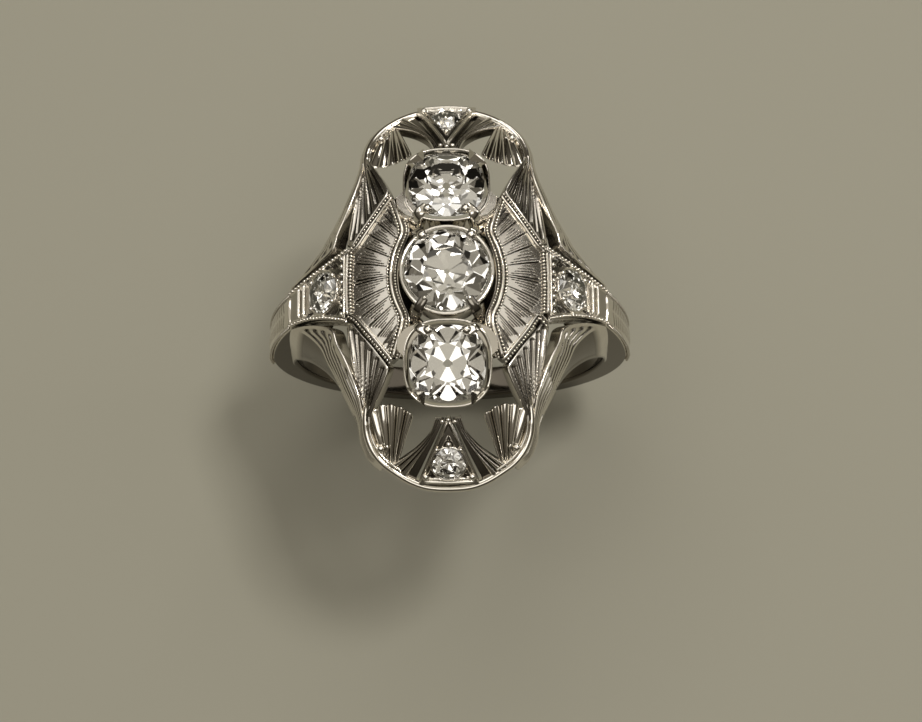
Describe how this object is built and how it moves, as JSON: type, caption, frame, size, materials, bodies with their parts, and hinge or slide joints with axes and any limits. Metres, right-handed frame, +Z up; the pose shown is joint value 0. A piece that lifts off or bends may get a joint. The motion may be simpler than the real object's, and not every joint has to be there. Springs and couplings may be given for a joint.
{
  "type": "three-stone filigree ring",
  "caption": "Pierced white-gold dinner ring with a long domed head, diamonds set along the finger and on the shoulders, and a plain band.",
  "frame": {"origin": "centre of the finger hole", "axes": "+Z up through the centre stone, +Y along the finger, +X across the shoulders"},
  "size_m": [0.0204, 0.0216, 0.0237],
  "materials": {
    "polished_white_gold": "polished rhodium-plated white gold",
    "engraved_white_gold": "white gold with cut grooves and fine hand engraving",
    "milgrain_white_gold": "white gold with a beaded edge",
    "diamond": "old-cut faceted diamond, slightly warm"
  },
  "bodies": {
    "root": {"beaded_arc_e": "milgrain_white_gold", "beaded_arc_w": "milgrain_white_gold", "box_setting_n": "polished_white_gold", "box_setting_s": "polished_white_gold", "cartouche_border_ne": "milgrain_white_gold", "cartouche_border_nw": "milgrain_white_gold", "cartouche_border_se": "milgrain_white_gold", "cartouche_border_sw": "milgrain_white_gold", "cartouche_plate_e": "engraved_white_gold", "cartouche_plate_w": "engraved_white_gold", "centre_collet": "polished_white_gold", "diamond_centre": "diamond", "diamond_end_n": "diamond", "diamond_end_s": "diamond", "diamond_n": "diamond", "diamond_s": "diamond", "diamond_shoulder_e": "diamond", "diamond_shoulder_w": "diamond", "fan_leaf_ne": "engraved_white_gold", "fan_leaf_nw": "engraved_white_gold", "fan_leaf_se": "engraved_white_gold", "fan_leaf_sw": "engraved_white_gold", "flank_fan_ne": "engraved_white_gold", "flank_fan_nw": "engraved_white_gold", "flank_fan_se": "engraved_white_gold", "flank_fan_sw": "engraved_white_gold", "gallery_rail_ne": "polished_white_gold", "gallery_rail_nw": "polished_white_gold", "gallery_rail_se": "polished_white_gold", "gallery_rail_sw": "polished_white_gold", "lobe_rim_ne": "polished_white_gold", "lobe_rim_nw": "polished_white_gold", "lobe_rim_se": "polished_white_gold", "lobe_rim_sw": "polished_white_gold", "lobe_shell_ne": "engraved_white_gold", "lobe_shell_nw": "engraved_white_gold", "lobe_shell_se": "engraved_white_gold", "lobe_shell_sw": "engraved_white_gold", "scroll_ball_ne": "polished_white_gold", "scroll_ball_nw": "polished_white_gold", "scroll_ball_se": "polished_white_gold", "scroll_ball_sw": "polished_white_gold", "shank": "polished_white_gold", "shoulder_border_e": "milgrain_white_gold", "shoulder_border_w": "milgrain_white_gold", "shoulder_gallery_ne": "engraved_white_gold", "shoulder_gallery_nw": "engraved_white_gold", "shoulder_gallery_se": "engraved_white_gold", "shoulder_gallery_sw": "engraved_white_gold", "shoulder_plate_e": "engraved_white_gold", "shoulder_plate_w": "engraved_white_gold", "tendril_ne": "engraved_white_gold", "tendril_nw": "engraved_white_gold", "tendril_se": "engraved_white_gold", "tendril_sw": "engraved_white_gold", "triangle_plate_n": "engraved_white_gold", "triangle_plate_s": "engraved_white_gold"}
  },
  "joints": []
}
